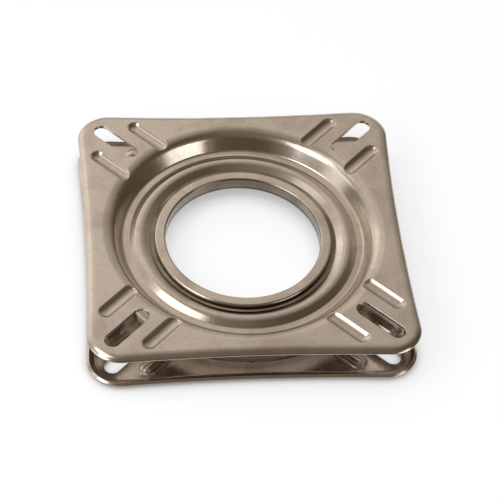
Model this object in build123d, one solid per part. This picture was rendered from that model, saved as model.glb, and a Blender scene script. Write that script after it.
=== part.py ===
from build123d import *
from math import atan2, cos, degrees, radians, sin, sqrt, tan
import os

# Seat swivel: two pressed square plates that turn on a ring of balls.
# Millimetres. The turning axis is Z, and z = 0 is the face that lies on the seat base.

# Square plates
plate_width = 178.0
side_hollow = 2.0
corner_radius = 18.0
sheet = 2.0
rim_bend_radius = 6.5
rim_bend_angle = 50.0

# Dish pressed into each plate, from the side of the plate inwards
dish_land = 15.5
wall_run = 6.6
dish_depth = 9.8
dish_top_fillet = 9.0
dish_floor_fillet = 2.0
valley_width = 3.9
bead_slope_angle = 30.0
bead_foot_fillet = 1.5
join_margin = 0.5

# Slots for the mounting screws, on the diagonals
slot_length = 31.0
slot_width = 8.7
slot_corner_distance = 7.6

# Stiffening ribs, one on each side of every slot
rib_length = 28.0
rib_width = 8.0
rib_depth = 2.0
rib_spacing = 31.0
rib_corner_distance = 19.7

# Ball race
ball_diameter = 6.35
ball_count = 16
ball_running_clearance = 0.02
groove_side_play = 0.12
plate_gap = 1.4

# Ball cage
cage_width = 10.0
cage_face_clearance = 0.2
cage_hole_clearance = 0.08

# Retaining ring, swaged into the bottom plate
flange_width = 6.3
flange_edge_gap = 2.3
ring_sheet = 2.0
ring_fold_radius = 1.2
flange_edge_round = 0.5
flange_clearance = 0.3
hole_clearance = 0.4
swage_flare = 0.8

# Heights and radii that follow from the sizes above
overall_height = 2 * (dish_depth + sheet) + plate_gap
middle = overall_height / 2
half_width = plate_width / 2
ball_radius = ball_diameter / 2
floor_height = overall_height - dish_depth

# The groove hugs the ball, and the bead over it is one sheet larger, with straight slopes
groove_radius = ball_radius + groove_side_play
bead_radius = groove_radius + sheet
bead_slope = radians(bead_slope_angle)
bead_crown_height = middle + ball_radius + ball_running_clearance + sheet
bead_apex_height = bead_crown_height + bead_radius * (1 / cos(bead_slope) - 1)
bead_half_width = (bead_apex_height - floor_height) / tan(bead_slope)

wall_top_radius = half_width - dish_land
wall_foot_radius = wall_top_radius - wall_run
race_radius = wall_foot_radius - valley_width - bead_half_width
flange_radius = race_radius - bead_half_width - flange_edge_gap
ring_bore_radius = flange_radius - flange_width
tube_radius = ring_bore_radius + ring_sheet
wall_angle = atan2(dish_depth, wall_run)
flat_start_radius = wall_top_radius + dish_top_fillet * tan(wall_angle / 2) + join_margin

# The corner's reach along the diagonal places the slots and ribs
corner_centre = half_width - corner_radius
corner_reach = corner_centre * sqrt(2) + corner_radius
slot_centre_radius = corner_reach - slot_corner_distance - slot_length / 2
rib_centre_radius = corner_reach - rib_corner_distance - rib_length / 2

# The hollow side is an arc that meets both corner arcs smoothly
side_radius = (side_hollow**2 + corner_centre**2) / (2 * side_hollow) - corner_radius
side_centre = half_width - side_hollow + side_radius
side_angle = degrees(atan2(corner_centre, side_centre - corner_centre))
rim_reach = rim_bend_radius * sin(radians(rim_bend_angle))


def flat_outline():
    """Closed line where the flat sheet ends and the turned rim begins."""
    side = CenterArc((side_centre, 0), side_radius + rim_reach, 180 + side_angle, -2 * side_angle)
    corner = CenterArc(
        (corner_centre, corner_centre),
        corner_radius - rim_reach,
        -side_angle,
        90 + 2 * side_angle,
    )
    edges = []
    for turn in range(4):
        edges.append(side.rotate(Axis.Z, 90 * turn))
        edges.append(corner.rotate(Axis.Z, 90 * turn))
    return Wire(edges)


def rim_section():
    """Section of the rim: the sheet bent down through an arc, reaching along X."""
    bend = radians(rim_bend_angle)
    inner_radius = rim_bend_radius - sheet
    centre = (0, -rim_bend_radius)
    outer = CenterArc(centre, rim_bend_radius, 90 - rim_bend_angle, rim_bend_angle)
    inner = CenterArc(centre, inner_radius, 90 - rim_bend_angle, rim_bend_angle)
    outer_end = (rim_bend_radius * sin(bend), rim_bend_radius * (cos(bend) - 1))
    inner_end = (inner_radius * sin(bend), inner_radius * cos(bend) - rim_bend_radius)
    edge = Line(outer_end, inner_end)
    root = Line((0, 0), (0, -sheet))
    return make_face([outer, edge, inner, root])


def turned_rim(centre, radius, start_angle, arc, outwards):
    """Rim along one arc of the outline, turned about the arc's centre."""
    start = radians(start_angle)
    way = Vector(cos(start), sin(start), 0)
    place = Plane(
        origin=Vector(*centre, 0) + way * radius,
        x_dir=way * outwards,
        z_dir=Vector(way.Y, -way.X, 0) * outwards,
    )
    return revolve(place * rim_section(), Axis((*centre, 0), (0, 0, 1)), arc)


def square_sheet():
    """Square sheet with its turned rim, top face at z = 0."""
    plate = extrude(make_face(flat_outline()), -sheet)
    side = turned_rim((side_centre, 0), side_radius + rim_reach, 180 - side_angle, 2 * side_angle, -1)
    corner = turned_rim(
        (corner_centre, corner_centre),
        corner_radius - rim_reach,
        -side_angle,
        90 + 2 * side_angle,
        1,
    )
    for turn in range(4):
        plate += side.rotate(Axis.Z, 90 * turn)
        plate += corner.rotate(Axis.Z, 90 * turn)
    return plate


def dish_space(hole_radius):
    """Section of the open space over the dish, whose lower line is the outer face of the sheet."""
    bead_start = (race_radius - bead_half_width, floor_height)
    bead_apex = (race_radius, bead_apex_height)
    bead_end = (race_radius + bead_half_width, floor_height)
    wall_foot = (wall_foot_radius, floor_height)
    wall_top = (wall_top_radius, overall_height)
    above = overall_height + dish_depth
    outline = Polyline(
        (hole_radius, floor_height),
        bead_start,
        bead_apex,
        bead_end,
        wall_foot,
        wall_top,
        (flat_start_radius, overall_height),
        (flat_start_radius, above),
        (hole_radius, above),
        close=True,
    )
    space = make_face(outline)
    rounds = [
        (bead_start, bead_foot_fillet),
        (bead_apex, bead_radius),
        (bead_end, bead_foot_fillet),
        (wall_foot, dish_floor_fillet),
        (wall_top, dish_top_fillet),
    ]
    for place, radius in rounds:
        corner = space.vertices().sort_by_distance(place)[0]
        space = fillet(corner, radius)
    return space


def dish_section(hole_radius):
    """Section of the pressed sheet: one sheet thickness under the open space."""
    space = dish_space(hole_radius)
    width = flat_start_radius - hole_radius
    window = Pos(hole_radius + width / 2, middle) * Rectangle(width, overall_height)
    return (offset(space, sheet) - space) & window


def rib_tool(extra):
    """Round-ended bar whose lower side presses the rib, larger by the extra."""
    radius = (rib_width**2 / 4 + rib_depth**2) / (2 * rib_depth)
    height = radius - rib_depth
    straight = rib_length - rib_width
    bar = Rot(0, 90, 0) * Cylinder(radius + extra, straight)
    bar += Pos(-straight / 2, 0, 0) * Sphere(radius + extra)
    bar += Pos(straight / 2, 0, 0) * Sphere(radius + extra)
    return Pos(0, 0, overall_height + height) * bar


def rib_places():
    """Places of the eight ribs, in pairs beside the four diagonals."""
    places = []
    for turn in range(4):
        for side in (-1, 1):
            offset_from_slot = side * rib_spacing / 2
            places.append(Rot(0, 0, 45 + 90 * turn) * Pos(rib_centre_radius, offset_from_slot, 0))
    return places


def slot_cutters():
    """Round-ended cutters for the four screw slots."""
    outline = SlotOverall(slot_length, slot_width)
    cutters = Part()
    for turn in range(4):
        place = Rot(0, 0, 45 + 90 * turn) * Pos(slot_centre_radius, 0, floor_height)
        cutters += place * extrude(outline, dish_depth + sheet)
    return cutters


def pressed_plate(hole_radius):
    """One plate in the upper position, with its dish, ribs and slots."""
    plate = Pos(0, 0, overall_height) * square_sheet()
    plate -= Pos(0, 0, middle) * Cylinder(flat_start_radius, 2 * overall_height)
    plate += revolve(Plane.XZ * dish_section(hole_radius), Axis.Z)
    open_space = revolve(Plane.XZ * dish_space(hole_radius), Axis.Z)
    below_flat = extrude(make_face(flat_outline()), overall_height)
    ridge = rib_tool(sheet)
    groove = rib_tool(0)
    for place in rib_places():
        plate += (place * ridge & below_flat) - open_space
    for place in rib_places():
        plate -= place * groove
    return plate - slot_cutters()


def top_plate():
    """Plate that carries the seat, free to turn round the ring's tube."""
    return pressed_plate(tube_radius + hole_clearance)


def bottom_plate():
    """The same pressing turned over, with its hole flared for the swaged tube."""
    plate = pressed_plate(tube_radius)
    flare = Cone(tube_radius, tube_radius + swage_flare, swage_flare)
    plate -= Pos(0, 0, floor_height - swage_flare / 2) * flare
    return Pos(0, 0, overall_height) * Rot(180, 0, 0) * plate


def retaining_ring():
    """Drawn ring: a flange over the top plate and a tube swaged into the bottom plate."""
    flange_under = floor_height + flange_clearance
    flange_top = flange_under + ring_sheet
    foot = overall_height - floor_height
    points = [
        (ring_bore_radius, flange_top),
        (flange_radius, flange_top),
        (flange_radius, flange_under),
        (tube_radius, flange_under),
        (tube_radius, foot + swage_flare),
        (tube_radius + swage_flare, foot),
        (ring_bore_radius, foot),
    ]
    section = make_face(Polyline(*points, close=True))
    for place, radius in ((points[0], ring_fold_radius), (points[1], flange_edge_round)):
        corner = section.vertices().sort_by_distance(place)[0]
        section = fillet(corner, radius)
    return revolve(Plane.XZ * section, Axis.Z)


def ball_places():
    """Centres of the balls, evenly spaced round the race."""
    return PolarLocations(race_radius, ball_count)


def ball_cage():
    """Flat ring between the plates that keeps the balls apart."""
    thickness = plate_gap - 2 * cage_face_clearance
    cage = Cylinder(race_radius + cage_width / 2, thickness)
    cage -= Cylinder(race_radius - cage_width / 2, thickness)
    cage -= ball_places() * Cylinder(ball_radius + cage_hole_clearance, thickness)
    return Pos(0, 0, middle) * cage


def balls():
    """All the balls of the race, in order round the axis."""
    return [Pos(0, 0, middle) * place * Sphere(ball_radius) for place in ball_places()]


os.makedirs("parts", exist_ok=True)
export_step(top_plate(), "parts/top_plate.step")
export_step(bottom_plate(), "parts/bottom_plate.step")
export_step(retaining_ring(), "parts/retaining_ring.step")
export_step(ball_cage(), "parts/ball_cage.step")
for number, ball in enumerate(balls(), start=1):
    export_step(ball, f"parts/ball_{number:02d}.step")
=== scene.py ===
# %% [markdown]
# # A pressed-steel seat swivel
# The real object is two square steel pressings, one turned over on the other, that turn on
# a ring of balls and are held together by a drawn ring. Every size and place is fixed by a
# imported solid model, the frame. This lesson loads it, replaces its faceted sheet metal by
# smooth surfaces worked out with numpy, gives each piece the finish of the real metal, and
# lights it softly, because polished metal looks like whatever it reflects.

# %% Load the frame
import math

import bmesh
import bpy
import numpy as np
from mathutils import Matrix, Vector
from mathutils.geometry import delaunay_2d_cdt


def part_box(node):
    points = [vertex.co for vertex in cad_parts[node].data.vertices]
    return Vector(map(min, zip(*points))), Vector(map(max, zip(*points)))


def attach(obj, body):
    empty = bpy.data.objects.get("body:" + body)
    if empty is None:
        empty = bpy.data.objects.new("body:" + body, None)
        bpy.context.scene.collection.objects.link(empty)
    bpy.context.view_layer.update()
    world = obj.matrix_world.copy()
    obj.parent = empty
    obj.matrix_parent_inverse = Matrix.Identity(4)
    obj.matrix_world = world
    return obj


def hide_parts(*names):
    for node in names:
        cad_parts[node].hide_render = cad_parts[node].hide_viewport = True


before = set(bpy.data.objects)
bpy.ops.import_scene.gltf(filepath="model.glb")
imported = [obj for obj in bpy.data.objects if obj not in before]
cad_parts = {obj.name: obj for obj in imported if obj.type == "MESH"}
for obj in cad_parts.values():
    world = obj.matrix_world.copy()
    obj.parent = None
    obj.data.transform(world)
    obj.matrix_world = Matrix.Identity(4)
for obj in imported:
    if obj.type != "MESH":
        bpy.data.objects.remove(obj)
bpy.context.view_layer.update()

MM = 0.001

# %% [markdown]
# ## Sizes
# The frame gives the outer sizes, so they are read from its boxes and not typed again. What
# a box can't tell, such as the radius of a bend, is a named value in millimetres. It is the
# value that the solids were pressed from, so the new sheet lies on the old one.

# %% Sizes from the frame and from the press tool
plate_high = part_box("top_plate")[1]
ring_low, ring_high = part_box("retaining_ring")
ball_low, ball_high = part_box("ball_01")
half_width = plate_high[0] / MM
overall_height = plate_high[2] / MM
race_radius = (ball_low[0] + ball_high[0]) / 2 / MM
ball_radius = (ball_high[2] - ball_low[2]) / 2 / MM
flange_radius = ring_high[0] / MM
flange_top = ring_high[2] / MM
foot_height = ring_low[2] / MM

sheet = 2.0
side_hollow = 2.0
corner_radius = 18.0
rim_bend_radius = 6.5
rim_bend_angle = math.radians(50)
dish_land = 15.5
wall_run = 6.6
dish_top_fillet = 9.0
dish_floor_fillet = 2.0
bead_slope = math.radians(30)
bead_foot_fillet = 1.5
groove_side_play = 0.12
ball_running_clearance = 0.02
slot_length = 31.0
slot_radius = 4.35
slot_corner_distance = 7.6
rib_length = 28.0
rib_width = 8.0
rib_depth = 2.0
rib_spacing = 31.0
rib_corner_distance = 19.7
flange_width = 6.3
hole_clearance = 0.4
swage_flare = 0.8

wall_top_radius = half_width - dish_land
wall_foot_radius = wall_top_radius - wall_run
floor_height = overall_height - foot_height
bead_radius = ball_radius + groove_side_play + sheet
tube_radius = flange_radius - flange_width + sheet
print("half width", round(half_width, 2), "height", round(overall_height, 2))
print("dish floor", round(floor_height, 2), "race radius", round(race_radius, 2))

# %% [markdown]
# ## One way to make every bend
# Bent sheet is mostly one profile followed along some line. A dish is a profile followed
# round a circle, a turned rim is one followed round the outline, and a slot's wall is one
# followed round its own spine. So two functions make all of these. One rounds the corners
# of a line, as a press tool's nose does, and the other carries a profile round a closed
# path. The second works on whole arrays, which is much quicker than a loop over points.

# %% Round the corners of a line
def rounded_line(points, radii, steps=8):
    """Line through the points, with an arc of the given radius at each corner.

    At a corner, the arc's centre lies on the line that halves the angle, at radius / sin of
    half the angle, and the arc is cut into equal turns. A radius of 0 keeps the corner.
    Returns the points and the unit normals on the left of the line."""
    points = np.asarray(points, float)
    places, normals = [], []
    for index, (corner, radius) in enumerate(zip(points, radii)):
        before = points[index - 1] if index else 2 * corner - points[1]
        last = index == len(points) - 1
        after = 2 * corner - before if last else points[index + 1]
        back = (before - corner) / np.linalg.norm(before - corner)
        on = (after - corner) / np.linalg.norm(after - corner)
        turn = back[1] * on[0] - back[0] * on[1]
        if radius == 0 or abs(turn) < 1e-9:
            way = (on - back) / np.linalg.norm(on - back)
            places.append([corner])
            normals.append([[-way[1], way[0]]])
            continue
        half = math.acos(np.clip(back @ on, -1, 1)) / 2
        middle = (back + on) / np.linalg.norm(back + on)
        centre = corner + middle * radius / math.sin(half)
        side = 1.0 if turn < 0 else -1.0
        spread = np.linspace(half - math.pi / 2, math.pi / 2 - half, steps + 1)
        across = (on - back) / np.linalg.norm(on - back)
        rays = -np.outer(np.cos(spread), middle) + np.outer(np.sin(spread), across)
        places.append(centre + rays * radius)
        normals.append(rays * side)
    return np.vstack(places), np.vstack(normals)


square_corner = rounded_line([(1, 0), (0, 0), (0, 1)], [0, 0.5, 0])[0]
print("points on a rounded square corner:", len(square_corner))

# %% Carry a profile round a closed path
def carried(path, outward, profile, closed=False):
    """Surface of a profile carried round a closed path, as points and faces.

    A point is the path's point, plus the profile's first value along the path's outward
    normal, at the profile's second value as its height."""
    offsets, heights = profile[:, 0], profile[:, 1]
    flat = path[:, None, :] + outward[:, None, :] * offsets[None, :, None]
    high = np.broadcast_to(heights, flat.shape[:2])[..., None]
    points = np.concatenate([flat, high], axis=2)
    rows, columns = flat.shape[:2]
    steps = columns if closed else columns - 1
    row, column = np.meshgrid(np.arange(rows), np.arange(steps), indexing="ij")
    next_row, next_column = (row + 1) % rows, (column + 1) % columns
    corners = [row * columns + column, next_row * columns + column]
    corners += [next_row * columns + next_column, row * columns + next_column]
    return points.reshape(-1, 3), np.stack(corners, axis=-1).reshape(-1, 4)


def circle_path(steps):
    """Path for turned shapes: every point is the axis, and the normals go round it."""
    angle = np.linspace(0, 2 * np.pi, steps, endpoint=False)
    return np.zeros((steps, 2)), np.column_stack([np.cos(angle), np.sin(angle)])


def spine_path(start, end, cap_steps=16, side_steps=10):
    """Path round a straight spine, for round-ended slots.

    The points run along the spine and back, and at each end the normal turns by half a
    circle while the point stays."""
    start, end = np.asarray(start, float), np.asarray(end, float)
    way = (end - start) / np.linalg.norm(end - start)
    side = np.array([way[1], -way[0]])
    share = np.linspace(0, 1, side_steps, endpoint=False)[1:, None]
    turn = np.linspace(-np.pi / 2, np.pi / 2, cap_steps)[:, None]
    cap = np.cos(turn) * way + np.sin(turn) * -side
    go, come = start + (end - start) * share, end + (start - end) * share
    path = np.vstack([np.repeat([end], cap_steps, 0), come, np.repeat([start], cap_steps, 0), go])
    flip = np.repeat([-side], len(come), 0), np.repeat([side], len(go), 0)
    return path, np.vstack([cap, flip[0], -cap, flip[1]])


circle_steps = 288
circle, circle_out = circle_path(circle_steps)
print("circle path points:", len(circle))

# %% [markdown]
# ## The outline of a plate
# Each side of the square is pulled in by 2 mm in a long shallow arc, and the corners are
# arcs of 18 mm. The rim is the last few millimetres of the sheet, bent down through 50
# degrees. The path followed here is the line where that bend begins, so the flat ends on it
# and the rim starts from it, with no gap between them.

# %% Path where the rim's bend begins
corner_centre = half_width - corner_radius
rim_reach = rim_bend_radius * math.sin(rim_bend_angle)
side_radius = (side_hollow**2 + corner_centre**2) / (2 * side_hollow) - corner_radius
side_centre = half_width - side_hollow + side_radius
side_angle = math.atan2(corner_centre, side_centre - corner_centre)


def outline_path(side_steps=44, corner_steps=28):
    """Closed path of four hollow side arcs and four corner arcs, with outward normals.

    A point is an arc's centre plus its radius times (cos, sin) of an even turn. The normal
    points away from a corner's centre, and towards a hollow side's."""
    side_turn = np.pi + np.linspace(side_angle, -side_angle, side_steps, endpoint=False)
    corner_turn = np.linspace(-side_angle, np.pi / 2 + side_angle, corner_steps, endpoint=False)
    side_ray = np.column_stack([np.cos(side_turn), np.sin(side_turn)])
    corner_ray = np.column_stack([np.cos(corner_turn), np.sin(corner_turn)])
    side_points = np.array([side_centre, 0]) + side_ray * (side_radius + rim_reach)
    corner_points = corner_centre + corner_ray * (corner_radius - rim_reach)
    quarter = np.vstack([side_points, corner_points])
    quarter_out = np.vstack([-side_ray, corner_ray])
    turns = [np.array([[c, s], [-s, c]]) for c, s in ((1, 0), (0, 1), (-1, 0), (0, -1))]
    return np.vstack([quarter @ t for t in turns]), np.vstack([quarter_out @ t for t in turns])


outline, outline_out = outline_path()
print("outline reaches", round(float(outline.max() + rim_reach), 3), "mm from the axis")

# %% [markdown]
# ## The profiles
# The dish goes from the flat down its wall, along a narrow valley, over the round bead that
# the balls run under, and in to the hole. The sheet keeps its thickness all the way, so the
# underside is the same line moved by 2 mm along its normals. The hole's and slots' edges
# get a small round, because a punched edge is never knife-sharp and its bright line is what
# the eye reads as metal.

# %% Profile of the dish
wall_angle = math.atan2(overall_height - floor_height, wall_run)
land_start = wall_top_radius + dish_top_fillet * math.tan(wall_angle / 2)
fillet_steps = 12
shared_steps = 10
hole_edge = 0.3
edge_steps = 4


def dish_profile(hole_radius, flare):
    """Closed section of the dish: down the open side to the hole and back underneath.

    The bead's straight slopes meet at an apex over the crown, by bead radius times
    (1 / cos of the slope - 1). The last two twelfths of the top bend belong to the dish, and
    the rest to the flats."""
    crown = overall_height / 2 + ball_radius + ball_running_clearance + sheet
    apex = crown + bead_radius * (1 / math.cos(bead_slope) - 1)
    half = (apex - floor_height) / math.tan(bead_slope)
    corners = [
        (hole_radius + flare, floor_height),
        (race_radius - half, floor_height),
        (race_radius, apex),
        (race_radius + half, floor_height),
        (wall_foot_radius, floor_height),
        (wall_top_radius, overall_height),
        (half_width, overall_height),
    ]
    radii = [0, bead_foot_fillet, bead_radius, bead_foot_fillet, dish_floor_fillet, dish_top_fillet, 0]
    line, normal = rounded_line(corners, radii, fillet_steps)
    line, normal = line[: -1 - shared_steps], normal[: -1 - shared_steps]
    under = line - normal * sheet
    under[0, 0] = hole_radius
    bore = [(hole_radius, floor_height - flare)] if flare else []
    section = np.vstack([line[::-1], *[[place] for place in bore], under])
    radii = np.zeros(len(section))
    radii[len(line) - 1 : len(line) + len(bore) + 1] = hole_edge
    return rounded_line(section, radii, edge_steps)[0]


print("dish profile points:", len(dish_profile(tube_radius + hole_clearance, 0)))

# %% Profiles of the rim and the slots
sheared_edge = 0.35
rim_steps = 8
slot_edge_steps = 5


def rim_profile():
    """Section of the rim: outer arc, sheared edge with small rounds, inner arc."""
    rim_turn = np.linspace(0, rim_bend_angle, rim_steps + 1)
    inner_radius = rim_bend_radius - sheet
    outer = np.column_stack([np.sin(rim_turn), np.cos(rim_turn) - 1]) * rim_bend_radius
    inner = np.column_stack([np.sin(rim_turn), np.cos(rim_turn)]) * inner_radius
    inner -= [0, rim_bend_radius]
    section = np.vstack([outer, inner[::-1]])
    radii = np.zeros(len(section))
    radii[rim_steps : rim_steps + 2] = sheared_edge
    return rounded_line(section, radii, edge_steps)[0] + [0, overall_height]


def slot_profile(radius, edge):
    """Section of a slot's wall: rolled over at the top, straight, and rounded below.

    The rounding is just under the edge's width, so that a short flat is left to join."""
    corners = [(radius + edge, 0), (radius, 0), (radius, -sheet), (radius + edge, -sheet)]
    radii = [0, 0.98 * edge, 0.98 * edge, 0]
    return rounded_line(corners, radii, slot_edge_steps)[0] + [0, overall_height]


rim_points, slot_points = rim_profile(), slot_profile(slot_radius, sheared_edge)
print("points of the rim and of a slot's wall:", len(rim_points), len(slot_points))

# %% Heights of the top bend and the ribs
rib_radius = (rib_width**2 / 4 + rib_depth**2) / (2 * rib_depth)
rib_centre_height = rib_radius - rib_depth


def top_bend(radius, reach, level):
    """Height of the dish's top bend at each distance from the axis.

    The bend is an arc about a point under the place where the flat begins: its height is
    the centre's plus the root of radius squared less the distance inwards squared."""
    inwards = np.clip(land_start - reach, 0, radius)
    bend = np.sqrt(radius**2 - inwards**2) - dish_top_fillet
    return np.where(inwards > 0, bend, level)


def rib_height(radius, edge, distance, level):
    """Height of a rib at each distance from its spine.

    The trough is an arc about a point over the plate. Its edge is a second arc that meets
    the trough and the flat smoothly, so the two centres are both radii apart."""
    rise = rib_centre_height - level + edge
    reach = math.sqrt((radius + edge) ** 2 - rise**2)
    join = radius * reach / (radius + edge)
    trough = rib_centre_height - np.sqrt(radius**2 - np.clip(distance, 0, join) ** 2)
    shoulder = level - edge + np.sqrt(edge**2 - np.clip(reach - distance, 0, reach - join) ** 2)
    return np.where(distance < join, trough, shoulder)


print("rib trough radius", rib_radius, "mm, its centre", rib_centre_height, "mm over the plate")

# %% Places of the slots and ribs along the diagonals
corner_reach = corner_centre * math.sqrt(2) + corner_radius
slot_outer = corner_reach - slot_corner_distance - slot_radius
slot_inner = slot_outer - slot_length + 2 * slot_radius
rib_outer = corner_reach - rib_corner_distance - rib_width / 2
rib_inner = rib_outer - rib_length + rib_width
diagonals = [math.pi / 4 + quarter * math.pi / 2 for quarter in range(4)]
turns = [np.array([[math.cos(a), math.sin(a)], [-math.sin(a), math.cos(a)]]) for a in diagonals]
rib_sides = (-rib_spacing / 2, rib_spacing / 2)
rib_turns = [(turn, side) for turn in turns for side in rib_sides]


def turned_spine(inner, outer, side, turn):
    """Two ends of a straight spine beside the diagonal, turned into its quarter."""
    return np.array([inner, side]) @ turn, np.array([outer, side]) @ turn


slot_spine = spine_path((slot_inner, 0), (slot_outer, 0))
slot_paths = [(slot_spine[0] @ turn, slot_spine[1] @ turn) for turn in turns]
slot_spines = [turned_spine(slot_inner, slot_outer, 0, turn) for turn in turns]
rib_spines = [turned_spine(rib_inner, rib_outer, side, turn) for turn, side in rib_turns]
print("slots", len(slot_spines), "ribs", len(rib_spines))

# %% [markdown]
# ## The flats, the top bend and the ribs
# The flat of each plate, the soft bend where it drops into the dish, and the ribs flow into
# one another, so they are one surface: a height worked out at every point. The height is
# the lower of two formulas, the bend's arc and the rib's trough, which is just how a rib
# pressed across a bend runs out into it. A Delaunay fill joins the points, set close where
# the sheet curves and far apart where it is flat, and it meets the rim, the slots and the
# dish point for point.

# %% Points for the flats
wide_step = 4.0
rib_step = 0.6
rib_start = 5.5
rib_reach = 5.6
rib_rows = 27
grid_margin = 3.0
join_room = 0.3
slot_room = 0.4
rim_room = 0.6


def spine_distance(places, spines):
    """Distance of every place to the nearest of the straight spines."""
    nearest = np.full(len(places), 1e3)
    for start, end in spines:
        way = end - start
        share = np.clip((places - start) @ way / (way @ way), 0, 1)
        nearest = np.minimum(nearest, np.linalg.norm(places - start - share[:, None] * way, axis=1))
    return nearest


def flat_points(inner_radius, radius):
    """Places for the fill: a wide grid, rings round the bend, and a close grid on each rib.

    Places that come close to the dish, a slot or the rim's start are left out, because the
    surface already has points there."""
    wide = np.arange(-half_width + grid_margin, half_width, wide_step)
    groups = [np.stack(np.meshgrid(wide, wide), axis=-1).reshape(-1, 2)]
    tilt = np.linspace(0, wall_angle, fillet_steps + 1)[:shared_steps]
    groups += [circle_out * (land_start - radius * math.sin(angle)) for angle in tilt]
    along = np.arange(rib_inner - rib_start, rib_outer + rib_reach, rib_step)
    across = np.linspace(-rib_reach, rib_reach, rib_rows)
    rib_grid = np.stack(np.meshgrid(along, across), axis=-1).reshape(-1, 2)
    groups += [(rib_grid + [0, side]) @ turn for turn, side in rib_turns]
    places = np.vstack(groups)
    clear = np.hypot(*places.T) > inner_radius + join_room
    clear &= spine_distance(places, slot_spines) > slot_radius + sheared_edge + slot_room
    corner = np.clip(np.abs(places) - corner_centre, 0, None)
    clear &= np.hypot(*corner.T) < corner_radius - rim_reach - rim_room
    x, y = np.abs(places).T
    for along_side, over in ((x, y), (y, x)):
        clear &= np.hypot(side_centre - over, along_side) > side_radius + rim_reach + rim_room
    return places[clear]


print("places for the fill of one face:", len(flat_points(land_start, dish_top_fillet)))

# %% Fill the flats
def flat_surface(bend_radius, trough_radius, trough_edge, level):
    """Height surface of one face of the sheet, between the rim, the slots and the dish.

    The height is the lower of the top bend's and the rib's. The radii are those of that
    face, and level is the flat's height against the top of the plate."""
    tilt = wall_angle * shared_steps / fillet_steps
    inner_radius = land_start - bend_radius * math.sin(tilt)
    slot_reach = slot_radius + sheared_edge
    slot_lines = [path + outward * slot_reach for path, outward in slot_paths]
    lines = [outline, circle_out * inner_radius] + slot_lines
    starts = np.cumsum([0] + [len(line) for line in lines])
    edges = []
    for start, line in zip(starts, lines):
        number = np.arange(len(line))
        edges += np.column_stack([start + number, start + (number + 1) % len(line)]).tolist()
    places = np.vstack(lines + [flat_points(inner_radius, bend_radius)])
    points, _, faces, *_ = delaunay_2d_cdt([Vector(place) for place in places], edges, [], 1, 1e-5)
    flat = np.array([tuple(point) for point in points])
    faces = np.array(faces)
    middle = flat[faces].mean(axis=1)
    kept = np.hypot(*middle.T) > inner_radius
    kept &= spine_distance(middle, slot_spines) > slot_reach
    bend = top_bend(bend_radius, np.hypot(*flat.T), level)
    rib = rib_height(trough_radius, trough_edge, spine_distance(flat, rib_spines), level)
    height = np.minimum(bend, rib) + overall_height
    return np.column_stack([flat, height]), faces[kept]


rib_edge_above, rib_edge_under = 1.0, 0.8
flat_top = flat_surface(dish_top_fillet, rib_radius, rib_edge_above, 0.0)
flat_under = flat_surface(dish_top_fillet - sheet, rib_radius + sheet, rib_edge_under, -sheet)
print("flat faces above and below:", len(flat_top[1]), len(flat_under[1]))

# %% [markdown]
# ## Joining the surfaces into a piece
# Every surface shares its edge points with its neighbour, so merging points that lie within
# two thousandths of a millimetre closes the sheet into one skin. Then the faces are turned
# to point outwards. A Weighted Normal modifier lets the large flats decide the shading at
# their edges, which keeps them flat right up to the bends.

# %% Join surfaces into one closed mesh
merge_distance = 0.002 * MM


def close_skin(mesh):
    """Merges shared points and turns the faces outwards. Returns open edges and volume."""
    skin = bmesh.new()
    skin.from_mesh(mesh)
    bmesh.ops.remove_doubles(skin, verts=skin.verts, dist=merge_distance)
    loose = [vertex for vertex in skin.verts if not vertex.link_faces]
    bmesh.ops.delete(skin, geom=loose, context="VERTS")
    bmesh.ops.recalc_face_normals(skin, faces=skin.faces)
    open_edges = sum(edge.is_boundary or not edge.is_manifold for edge in skin.edges)
    volume = skin.calc_volume(signed=True) / MM**3
    skin.to_mesh(mesh)
    skin.free()
    return open_edges, volume


def join_surfaces(name, surfaces, shape=None):
    """One closed and smooth-shaded object, in metres, from a list of (points, faces).

    The shape is a function that moves all the points before they are joined."""
    counts = np.cumsum([0] + [len(points) for points, _ in surfaces])
    points = np.vstack([points for points, _ in surfaces])
    if shape:
        points = shape(points)
    faces = []
    for start, (_, indices) in zip(counts, surfaces):
        faces += (indices + start).tolist()
    mesh = bpy.data.meshes.new(name)
    mesh.from_pydata((points * MM).tolist(), [], faces)
    open_edges, volume = close_skin(mesh)
    mesh.polygons.foreach_set("use_smooth", np.ones(len(mesh.polygons), bool))
    piece = bpy.data.objects.new(name, mesh)
    bpy.context.scene.collection.objects.link(piece)
    weight = piece.modifiers.new("flats decide shading", "WEIGHTED_NORMAL")
    weight.mode = "FACE_AREA"
    weight.weight = 50
    print(name, "faces", len(mesh.polygons), "open edges", open_edges, "mm3", round(volume))
    return piece


# %% [markdown]
# ## The two plates
# Both plates come from one press tool. The bottom one is turned over, and its hole has a
# small flare where the ring's foot is spread into it. Real pressed sheet is never quite
# flat, so the land gets long waves of a tenth of a millimetre at most. They can't be seen
# as shape, but they bend the reflections just enough to look like metal and not like glass.

# %% Surfaces of one pressing
wave_depth = 0.035
wave_fade = 10.0


def pressed_waves(points, seed):
    """Lowers the land by smooth waves, and never raises it.

    The wave is a sum of four sines of place, which stays over -3.2. The land sinks by the
    wave depth times (3.2 + wave), faded in with the square of the way out from the dish."""
    x, y = points[:, 0], points[:, 1]
    phase = np.random.default_rng(seed).uniform(0, 2 * np.pi, 4)
    wave = np.sin(x / 17 + y / 41 + phase[0]) + np.sin(y / 19 - x / 37 + phase[1])
    wave += 0.6 * np.sin(x / 9 - y / 13 + phase[2]) + 0.6 * np.sin(y / 8 + x / 15 + phase[3])
    land = np.clip((np.hypot(x, y) - land_start) / wave_fade, 0, 1)
    points = points.copy()
    points[:, 2] -= wave_depth * land**2 * (3.2 + wave)
    return points


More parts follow.
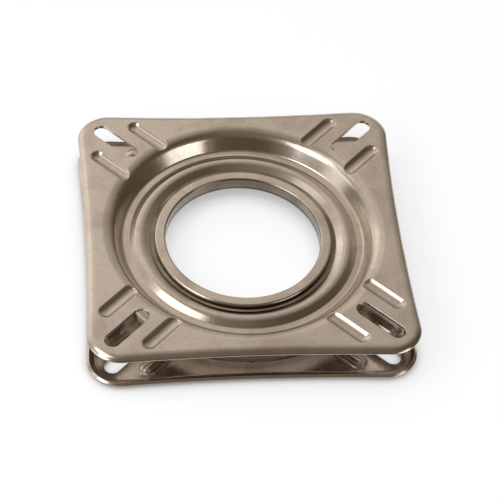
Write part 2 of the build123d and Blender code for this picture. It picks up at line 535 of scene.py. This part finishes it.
def plate_surfaces(hole_radius, flare):
    """All the surfaces of one pressing in the upper position."""
    dish = carried(circle, circle_out, dish_profile(hole_radius, flare))
    rim = carried(outline, outline_out, rim_points)
    slots = [carried(path, outward, slot_points) for path, outward in slot_paths]
    return [dish, flat_top, flat_under, rim] + slots


def turned_over(points):
    """Half a turn about X, which puts the pressing in the lower position."""
    return points * [1, -1, -1] + [0, 0, overall_height]


upper_surfaces = plate_surfaces(tube_radius + hole_clearance, 0)
lower_surfaces = plate_surfaces(tube_radius, swage_flare)
print("surfaces in one pressing:", len(upper_surfaces))

# %% Press both plates
upper_plate = join_surfaces("upper_plate", upper_surfaces, lambda p: pressed_waves(p, 3))
lower_plate = join_surfaces("lower_plate", lower_surfaces, lambda p: turned_over(pressed_waves(p, 8)))

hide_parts("top_plate")
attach(upper_plate, "seat_side")
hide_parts("bottom_plate")
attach(lower_plate, "base")

# %% [markdown]
# ## The retaining ring
# The ring is drawn from flat sheet into a short tube with a flange. The flange lies over
# the top plate's inner edge, and the tube's foot is spread into the bottom plate, which is
# what holds the swivel together. Drawing leaves soft bends, so the fold and the flange's
# rim are rounded widely, and the places that nobody touches keep nearly sharp corners.

# %% Turn the retaining ring
def ring_profile():
    """Closed section of the ring, from the bore round the flange and down the tube.

    Each corner is its radius from the axis, its height and its own rounding. The first one
    lies on the straight bore and has none."""
    bore = flange_radius - flange_width
    flange_under = flange_top - sheet
    corners = [
        (bore, (flange_top + foot_height) / 2, 0),
        (bore, flange_top, 1.2),
        (flange_radius, flange_top, 1.55),
        (flange_radius, flange_under, 0.3),
        (tube_radius, flange_under, 0.2),
        (tube_radius, foot_height + swage_flare, 0.4),
        (tube_radius + swage_flare, foot_height, 0.15),
        (bore, foot_height, 0.7),
    ]
    places = [corner[:2] for corner in corners]
    return rounded_line(places, [corner[2] for corner in corners])[0]


ring_surface = carried(circle, circle_out, ring_profile(), closed=True)
clamp_ring = join_surfaces("clamp_ring", [ring_surface])
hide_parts("retaining_ring")
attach(clamp_ring, "base")

# %% [markdown]
# ## Materials
# A material starts from what the real one is. Its colours are written as the sRGB hex
# values that an artist would pick, and one function makes them linear, because the shader
# adds up light, not screen values. Another small function adds a node with its settings
# and inputs, so each recipe below reads from top to bottom. A pattern's size is given in
# millimetres, and its scale is one over that size in metres.

# %% Helpers for materials
def linear(hex_colour):
    """Linear RGBA of an sRGB hex colour: the standard curve, channel by channel."""
    channels = [int(hex_colour[i : i + 2], 16) / 255 for i in (1, 3, 5)]
    return [c / 12.92 if c <= 0.04045 else ((c + 0.055) / 1.055) ** 2.4 for c in channels] + [1.0]


def add(tree, kind, inputs=None, **settings):
    """New node of a kind, with its settings. An input is a value or another node's output."""
    node = tree.nodes.new(kind)
    for key, value in settings.items():
        setattr(node, key, value)
    for socket, value in (inputs or {}).items():
        if isinstance(value, bpy.types.NodeSocket):
            tree.links.new(value, node.inputs[socket])
        else:
            node.inputs[socket].default_value = value
    return node


def new_material(name):
    """Empty node material with a principled shader. Returns it, its tree and the shader."""
    material = bpy.data.materials.new(name)
    material.use_nodes = True
    tree = material.node_tree
    tree.nodes.clear()
    shader = add(tree, "ShaderNodeBsdfPrincipled")
    add(tree, "ShaderNodeOutputMaterial", {"Surface": shader.outputs[0]})
    return material, tree, shader


print("screen grey #808080 as linear light:", round(linear("#808080")[0], 3))

# %% [markdown]
# ## Wear of nickel plate
# The plating follows the rolled sheet under it, so faint long grain shows along the rolling
# direction. With age, bright nickel clouds over in soft patches and gets tiny dull pits.
# Each of these is a share from 0 to 1 at every place, which the recipe for the metal then
# uses for both its colour and its roughness.

# %% Grain, clouds and pits
grain_cell = (1.2, 45.0, 1.2)
cloud_cell = 22.0
pit_cell = 2.0


def rolled_grain(tree, place):
    """Streaks along Y, about half as wide and long as a noise cell.

    Real grain is finer, and wouldn't show here, so it is drawn coarser."""
    scale = tuple(1 / (size * MM) for size in grain_cell)
    streaks = add(tree, "ShaderNodeMapping", {"Vector": place, "Scale": scale}).outputs[0]
    pattern = {"Vector": streaks, "Scale": 1.0, "Detail": 3.0, "Roughness": 0.6}
    return add(tree, "ShaderNodeTexNoise", pattern).outputs["Fac"]


def clouding(tree, place):
    """Soft patches where the polish has gone hazy."""
    pattern = {"Vector": place, "Scale": 1 / (cloud_cell * MM)}
    pattern |= {"Detail": 4.0, "Roughness": 0.55, "Distortion": 0.6}
    clouds = add(tree, "ShaderNodeTexNoise", pattern).outputs["Fac"]
    limits = {"Value": clouds, "From Min": 0.44, "From Max": 0.70}
    return add(tree, "ShaderNodeMapRange", limits).outputs["Result"]


def pitting(tree, place):
    """Tiny dull pits, where the plating has started to stain."""
    pattern = {"Vector": place, "Scale": 1 / (pit_cell * MM), "Detail": 3.0, "Roughness": 0.6}
    specks = add(tree, "ShaderNodeTexNoise", pattern).outputs["Fac"]
    limits = {"Value": specks, "From Min": 0.55, "From Max": 0.72}
    return add(tree, "ShaderNodeMapRange", limits).outputs["Result"]


print("noise cells of grain, clouds and pits in mm:", grain_cell, cloud_cell, pit_cell)

# %% [markdown]
# ## Grease, and painted shade on nickel plate
# Grease creeps out of the ball race into the trench beside the flange and into the bore, so
# it follows the distance from the axis, and these bands also paint the shade in the trench
# and the bore. Ambient occlusion tells how much of the surroundings a place can see, and
# where little is seen the colour is darkened as painted shade.

# %% Grease bands and painted shade
grease_cell = 30.0
shade_reach = 25.0


def axis_distance(tree, place):
    """Distance of a place from the turning axis, in metres."""
    flat = add(tree, "ShaderNodeVectorMath", {0: place, 1: (1, 1, 0)}, operation="MULTIPLY")
    length = add(tree, "ShaderNodeVectorMath", {0: flat.outputs[0]}, operation="LENGTH")
    return length.outputs["Value"]


def greasing_and_shading(tree, place, reach, bands):
    """Patchy grease in bands round the axis, which also paints the shade in the trench and the bore.

    A band is the radius where the metal is clean and the one where the grease and painted shade are
    full, in mm."""
    pattern = {"Vector": place, "Scale": 1 / (grease_cell * MM), "Detail": 3.0}
    patches = add(tree, "ShaderNodeTexNoise", pattern).outputs["Fac"]
    limits = {"Value": patches, "From Min": 0.35, "From Max": 0.62, "To Min": 0.5}
    thickness = add(tree, "ShaderNodeMapRange", limits).outputs["Result"]
    # Each band adds grease and painted shade.
    grease_shade_share = 0.0
    for clean_at, grease_shade_at in bands:
        limits = {"Value": reach, "From Min": clean_at * MM, "From Max": grease_shade_at * MM}
        band = add(tree, "ShaderNodeMapRange", limits, interpolation_type="SMOOTHSTEP")
        terms = {0: band.outputs["Result"], 1: thickness, 2: grease_shade_share}
        grease_shade_share = add(tree, "ShaderNodeMath", terms, operation="MULTIPLY_ADD").outputs[0]
    return grease_shade_share


def painted_shelter_shade(tree):
    """Share of painted shade where little of the room is seen: between the plates, in the slots and in
    the race.
    """
    room = add(tree, "ShaderNodeAmbientOcclusion", {"Distance": shade_reach * MM}, samples=4)
    limits = {"Value": room.outputs["AO"], "From Min": 0.62, "From Max": 0.28, "To Max": 0.75}
    return add(tree, "ShaderNodeMapRange", limits).outputs["Result"]


print("grease patches and reach of the dirt in mm:", grease_cell, shade_reach)

# %% [markdown]
# ## Relief of nickel plate
# Three reliefs, all too shallow to be seen as shape, break up the reflections: the peel of
# the plating, the grain, and the fine rings that the press leaves where it draws the sheet
# into the dish. Each bump node takes the normal of the one before, so they add up.

# %% Shallow reliefs
peel_cell = 6.0
ring_cell = 1.6
drawn_from = 79.0
drawn_fully = 73.0


def relief(tree, place, grain, reach):
    """Normal bent by the plating's peel, the grain, and the rings drawn into the dish."""
    pattern = {"Vector": place, "Scale": 1 / (peel_cell * MM), "Detail": 2.0}
    peel = add(tree, "ShaderNodeTexNoise", pattern).outputs["Fac"]
    outwards = add(tree, "ShaderNodeCombineXYZ", {"X": reach}).outputs[0]
    pattern = {"Vector": outwards, "Scale": 1 / (ring_cell * MM), "Detail": 2.0}
    rings = add(tree, "ShaderNodeTexNoise", pattern).outputs["Fac"]
    limits = {"Value": reach, "From Min": drawn_from * MM, "From Max": drawn_fully * MM}
    inside = add(tree, "ShaderNodeMapRange", limits, interpolation_type="SMOOTHSTEP")
    terms = {0: rings, 1: inside.outputs["Result"]}
    drawn = add(tree, "ShaderNodeMath", terms, operation="MULTIPLY").outputs[0]
    before = {}
    for height, strength, depth in ((peel, 0.08, 0.25), (grain, 0.03, 0.12), (drawn, 0.10, 0.25)):
        bump = {"Height": height, "Strength": strength, "Distance": depth * MM}
        before = {"Normal": add(tree, "ShaderNodeBump", bump | before).outputs[0]}
    return before["Normal"]


print("rings are drawn inside a radius of", drawn_from, "mm")

# %% [markdown]
# ## Bright nickel plate on pressed steel
# Nickel is a warm white metal, a little yellow beside chromium. Clouding, stain, grease with
# painted shade, and painted shade in sheltered places are laid over its colour one after
# another, each by its own share. The same shares make it rougher, because wear on polished
# metal shows more as dull places than as colour.

# %% Nickel-plated steel
stain_strength = 0.22
sheltered_roughness = 0.42


def nickel_plate(name, base, cloudy, smooth, worn, grease_shade_bands):
    """Warm polished metal with grain, clouds, pits, grease, and painted shade in hollows and sheltered
    places.

    The base and cloudy colours are sRGB hex, and smooth and worn are roughness values."""
    material, tree, shader = new_material(name)
    place = add(tree, "ShaderNodeTexCoord").outputs["Object"]
    grain = rolled_grain(tree, place)
    clouds = clouding(tree, place)
    pits = pitting(tree, place)
    reach = axis_distance(tree, place)
    grease_and_shade = greasing_and_shading(tree, place, reach, grease_shade_bands)
    shade_and_dull = painted_shelter_shade(tree)
    stain = add(tree, "ShaderNodeMath", {0: pits, 1: stain_strength}, operation="MULTIPLY").outputs[0]
    # The greys of stain, grease and the painted shade are browner than nickel's own.
    colour = linear(base)
    for share, tint in ((clouds, cloudy), (stain, "#968A80"), (grease_and_shade, "#6E6356"), (shade_and_dull, "#6C5338")):
        layer = {"Factor": share, "A": colour, "B": linear(tint)}
        colour = add(tree, "ShaderNodeMix", layer, data_type="RGBA").outputs["Result"]
    # The polish is worn by the grain squared, 0.45 of the clouds and 0.25 of the pits.
    wear = add(tree, "ShaderNodeMath", {0: grain, 1: grain}, operation="MULTIPLY").outputs[0]
    for share, amount in ((clouds, 0.45), (pits, 0.25)):
        terms = {0: share, 1: amount, 2: wear}
        wear = add(tree, "ShaderNodeMath", terms, operation="MULTIPLY_ADD").outputs[0]
    limits = {"Value": wear, "To Min": smooth, "To Max": worn}
    rough = add(tree, "ShaderNodeMapRange", limits).outputs["Result"]
    # Sheltered places, darkened above as painted shade, are also made rougher.
    sheltered_dull = {"Factor": shade_and_dull, "A": rough, "B": sheltered_roughness}
    rough = add(tree, "ShaderNodeMix", sheltered_dull, data_type="FLOAT").outputs["Result"]
    tree.links.new(colour, shader.inputs["Base Color"])
    tree.links.new(rough, shader.inputs["Roughness"])
    tree.links.new(relief(tree, place, grain, reach), shader.inputs["Normal"])
    shader.inputs["Metallic"].default_value = 1.0
    return material


# These bands are grease and painted shade: the trench beside the flange, the flange's edge and the
# bore.
trench = [(52.2, 51.2)]
flange_and_bore = [(48.6, 49.2), (43.6, 43.0)]
plate_metal = nickel_plate("nickel_plated_pressed_steel", "#CFC5BC", "#BFB3A9", 0.13, 0.27, trench)
ring_metal = nickel_plate("nickel_plated_drawn_ring", "#CEC4BB", "#BCB0A6", 0.12, 0.25, flange_and_bore)
for piece, metal in ((upper_plate, plate_metal), (lower_plate, plate_metal), (clamp_ring, ring_metal)):
    piece.data.materials.append(metal)
print("sheet metal finished:", plate_metal.name, ring_metal.name)

# %% [markdown]
# ## Balls and cage
# The balls are hardened bearing steel, ground and lapped, so they are the smoothest thing
# here, under a thin film of grease. The cage that spaces them is moulded acetal, an
# off-white slippery plastic with a dull sheen and faint flow marks from the mould.

# %% Ground steel and acetal
def varied_material(name, pattern, tones, roughness):
    """Material whose colour and roughness follow one noise, between two values each."""
    material, tree, shader = new_material(name)
    place = add(tree, "ShaderNodeTexCoord").outputs["Object"]
    noise = add(tree, "ShaderNodeTexNoise", pattern | {"Vector": place}).outputs["Fac"]
    tints = {"Factor": noise, "A": linear(tones[0]), "B": linear(tones[1])}
    colour = add(tree, "ShaderNodeMix", tints, data_type="RGBA").outputs["Result"]
    limits = {"Value": noise, "To Min": roughness[0], "To Max": roughness[1]}
    rough = add(tree, "ShaderNodeMapRange", limits).outputs["Result"]
    tree.links.new(colour, shader.inputs["Base Color"])
    tree.links.new(rough, shader.inputs["Roughness"])
    return material, shader


def ground_steel():
    """Mirror-like steel with a thin uneven film of grease, in patches of 1.5 mm."""
    film = {"Scale": 1 / (1.5 * MM), "Detail": 2.0}
    tones = ("#C4C2BF", "#9E978C")
    material, shader = varied_material("ground_bearing_steel", film, tones, (0.08, 0.22))
    shader.inputs["Metallic"].default_value = 1.0
    return material


def moulded_acetal():
    """Off-white plastic with a soft sheen and flow marks of 8 mm."""
    flow = {"Scale": 1 / (8 * MM), "Detail": 3.0, "Distortion": 1.0}
    tones = ("#D8D2C4", "#C6BEAC")
    material, shader = varied_material("moulded_acetal", flow, tones, (0.38, 0.55))
    shader.inputs["IOR"].default_value = 1.48
    return material


ball_metal, cage_plastic = ground_steel(), moulded_acetal()
for name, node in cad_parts.items():
    if name.startswith("ball_"):
        node.data.materials.clear()
        node.data.materials.append(cage_plastic if name == "ball_cage" else ball_metal)
print("race finished:", ball_metal.name, cage_plastic.name)

# %% [markdown]
# ## The floor
# The swivel stands on matt paper that looks white both to the eye and in the metal. Bright
# lamps would burn out the metal before the paper turned white, so the paper glows a little,
# but only for rays that see it directly or in a reflection. It sheds no light on the metal.
# Close to the swivel the glow fades with ambient occlusion, a painted shade that keeps the thin shadow
# where the plate touches.

# %% Floor
floor_reach = 4.0
floor_glow = 0.77
contact_reach = 12.0


def matt_paper():
    """White paper with a glow that is seen and reflected, and fades close to the swivel as painted
    shade.
    """
    material, tree, shader = new_material("matt_paper_floor")
    shader.inputs["Base Color"].default_value = linear("#B4B4B4")
    shader.inputs["Roughness"].default_value = 0.9
    shader.inputs["Emission Color"].default_value = linear("#F9FBFF")
    rays = add(tree, "ShaderNodeLightPath").outputs
    seen = rays["Is Camera Ray"]
    for ray in (rays["Is Glossy Ray"], rays["Is Transmission Ray"]):
        seen = add(tree, "ShaderNodeMath", {0: seen, 1: ray}, operation="MAXIMUM").outputs[0]
    # Ambient occlusion fades the glow near the swivel: a painted shade on the floor.
    room = add(tree, "ShaderNodeAmbientOcclusion", {"Distance": contact_reach * MM}, samples=8)
    glow = seen
    for share in (floor_glow, room.outputs["AO"]):
        glow = add(tree, "ShaderNodeMath", {0: glow, 1: share}, operation="MULTIPLY").outputs[0]
    tree.links.new(glow, shader.inputs["Emission Strength"])
    return material


def pale_floor():
    """Large level square under the swivel."""
    mesh = bpy.data.meshes.new("studio_floor")
    corners = [(x * floor_reach, y * floor_reach, 0) for x, y in ((-1, -1), (1, -1), (1, 1), (-1, 1))]
    mesh.from_pydata(corners, [], [(0, 1, 2, 3)])
    mesh.materials.append(matt_paper())
    floor = bpy.data.objects.new("studio_floor", mesh)
    bpy.context.scene.collection.objects.link(floor)
    return floor


floor = pale_floor()
print("floor side in metres:", 2 * floor_reach)

# %% [markdown]
# ## Soft lamps
# Polished metal shows the room, so the lamps are chosen by what each face of the dish
# reflects. A large soft lamp on the left brightens the walls that face it, and a small one,
# nearer and higher, adds tighter highlights. A broad lamp low on the right lights the walls
# that face it, and the front stays dark, which draws the dark bands in the dish. Each lamp
# is given by its radiance: an area lamp's power is pi times its area times that.

# %% Lamps
def direction(azimuth, elevation):
    """Unit vector from the swivel towards the room, from two angles in degrees."""
    turn, lift = math.radians(azimuth), math.radians(elevation)
    return Vector((math.cos(turn) * math.cos(lift), math.sin(turn) * math.cos(lift), math.sin(lift)))


def softbox(name, azimuth, elevation, distance, width, height, radiance, colour):
    """Rectangular soft lamp on a sphere round the swivel, facing it, in metres."""
    lamp = bpy.data.lights.new(name, "AREA")
    lamp.shape = "RECTANGLE"
    lamp.size, lamp.size_y = width, height
    lamp.energy = math.pi * width * height * radiance
    lamp.color = linear(colour)[:3]
    way = direction(azimuth, elevation)
    facing = way.to_track_quat("Z", "Y").to_matrix().to_4x4()
    item = bpy.data.objects.new(name, lamp)
    item.matrix_world = Matrix.Translation(way * distance) @ facing
    item.visible_camera = False
    bpy.context.scene.collection.objects.link(item)


softbox("key_left", 212, 35, 1.5, 0.66, 0.66, 2.1, "#FFFFFA")
softbox("key_near", 199, 52, 0.46, 0.22, 0.20, 1.9, "#FFFFFA")
softbox("fill_front_right", 317, 22, 1.6, 0.82, 0.66, 1.9, "#FFFDF8")
print("lamps:", len(bpy.data.lights))

# %% [markdown]
# ## The room
# Behind the lamps the room is dim and warm, with broad lobes of light where its walls are
# pale. A lobe's strength falls off smoothly between two angles from its middle, so nothing
# in the metal has a hard edge except the lamps.

# %% World
room_colour = "#625847"
# A lobe: azimuth, elevation, the angles where its fade begins and ends, strength, colour.
lobes = [
    (106, 30, 28, 80, 0.44, "#FFF8F0"),
    (110, 40, 10, 32, 0.30, "#FFF8F0"),
    (130, 12, 8, 28, 0.38, "#FFFCF6"),
    (140, 26, 12, 30, 0.18, "#FFFCF6"),
    (170, 56, 5, 16, 0.55, "#FFFCF6"),
    (187, 20, 5, 18, 0.95, "#FFFEF8"),
    (204, 30, 18, 42, 0.22, "#FFFEF8"),
    (317, 24, 12, 30, 0.10, "#FFFCF6"),
    (250, 62, 8, 36, 0.10, "#FFF2E4"),
]


def soft_room():
    """World of the room's colour with every lobe added to it."""
    world = bpy.data.worlds.new("soft_room")
    world.use_nodes = True
    tree = world.node_tree
    tree.nodes.clear()
    way = add(tree, "ShaderNodeTexCoord").outputs["Generated"]
    light = linear(room_colour)
    for azimuth, elevation, near, far, strength, colour in lobes:
        aim = tuple(direction(azimuth, elevation))
        facing = add(tree, "ShaderNodeVectorMath", {0: way, 1: aim}, operation="DOT_PRODUCT")
        limits = {"Value": facing.outputs["Value"], "To Max": strength}
        limits["From Min"] = math.cos(math.radians(far))
        limits["From Max"] = math.cos(math.radians(near))
        fade = add(tree, "ShaderNodeMapRange", limits, interpolation_type="SMOOTHSTEP")
        lobe = {"Factor": fade.outputs["Result"], "A": light, "B": linear(colour)}
        light = add(tree, "ShaderNodeMix", lobe, data_type="RGBA", blend_type="ADD").outputs["Result"]
    background = add(tree, "ShaderNodeBackground", {"Color": light, "Strength": 1.0})
    add(tree, "ShaderNodeOutputWorld", {"Surface": background.outputs[0]})
    return world


bpy.context.scene.world = soft_room()
print("lobes of light:", len(lobes))

# %% [markdown]
# ## Camera
# The camera stands where the photographer stood: in front, a little to the left, looking
# down at 49 degrees from about a metre away, and rolled by 5 degrees. These values were
# found by matching the plate's corners and the hole's rim to the photograph, which is 500
# pixels wide.

# %% Camera
camera_turn = -8.91
camera_elevation = 48.99
camera_roll = math.radians(5.28)
camera_distance = 1.08181
camera_target = (0, 0, 0.015)
photo_pixels = 500
focal_pixels = 1955.42
shift_pixels = (6.97, -10.65)


def photo_camera():
    """Camera on a sphere round its target, turned from the front, lifted and rolled."""
    back = direction(camera_turn - 90, camera_elevation)
    right = direction(camera_turn, 0)
    up = back.cross(right)
    rolled_right = right * math.cos(camera_roll) + up * math.sin(camera_roll)
    rolled_up = up * math.cos(camera_roll) - right * math.sin(camera_roll)
    lens = bpy.data.cameras.new("photo_camera")
    lens.sensor_width = 36
    lens.lens = focal_pixels / photo_pixels * lens.sensor_width
    lens.shift_x, lens.shift_y = [pixels / photo_pixels for pixels in shift_pixels]
    camera = bpy.data.objects.new("photo_camera", lens)
    turn = Matrix((rolled_right, rolled_up, back)).transposed().to_4x4()
    camera.matrix_world = Matrix.Translation(Vector(camera_target) + back * camera_distance) @ turn
    bpy.context.scene.collection.objects.link(camera)
    return camera


bpy.context.scene.camera = photo_camera()
bpy.context.scene.view_settings.view_transform = "Standard"
print("focal length in millimetres:", round(bpy.context.scene.camera.data.lens, 1))
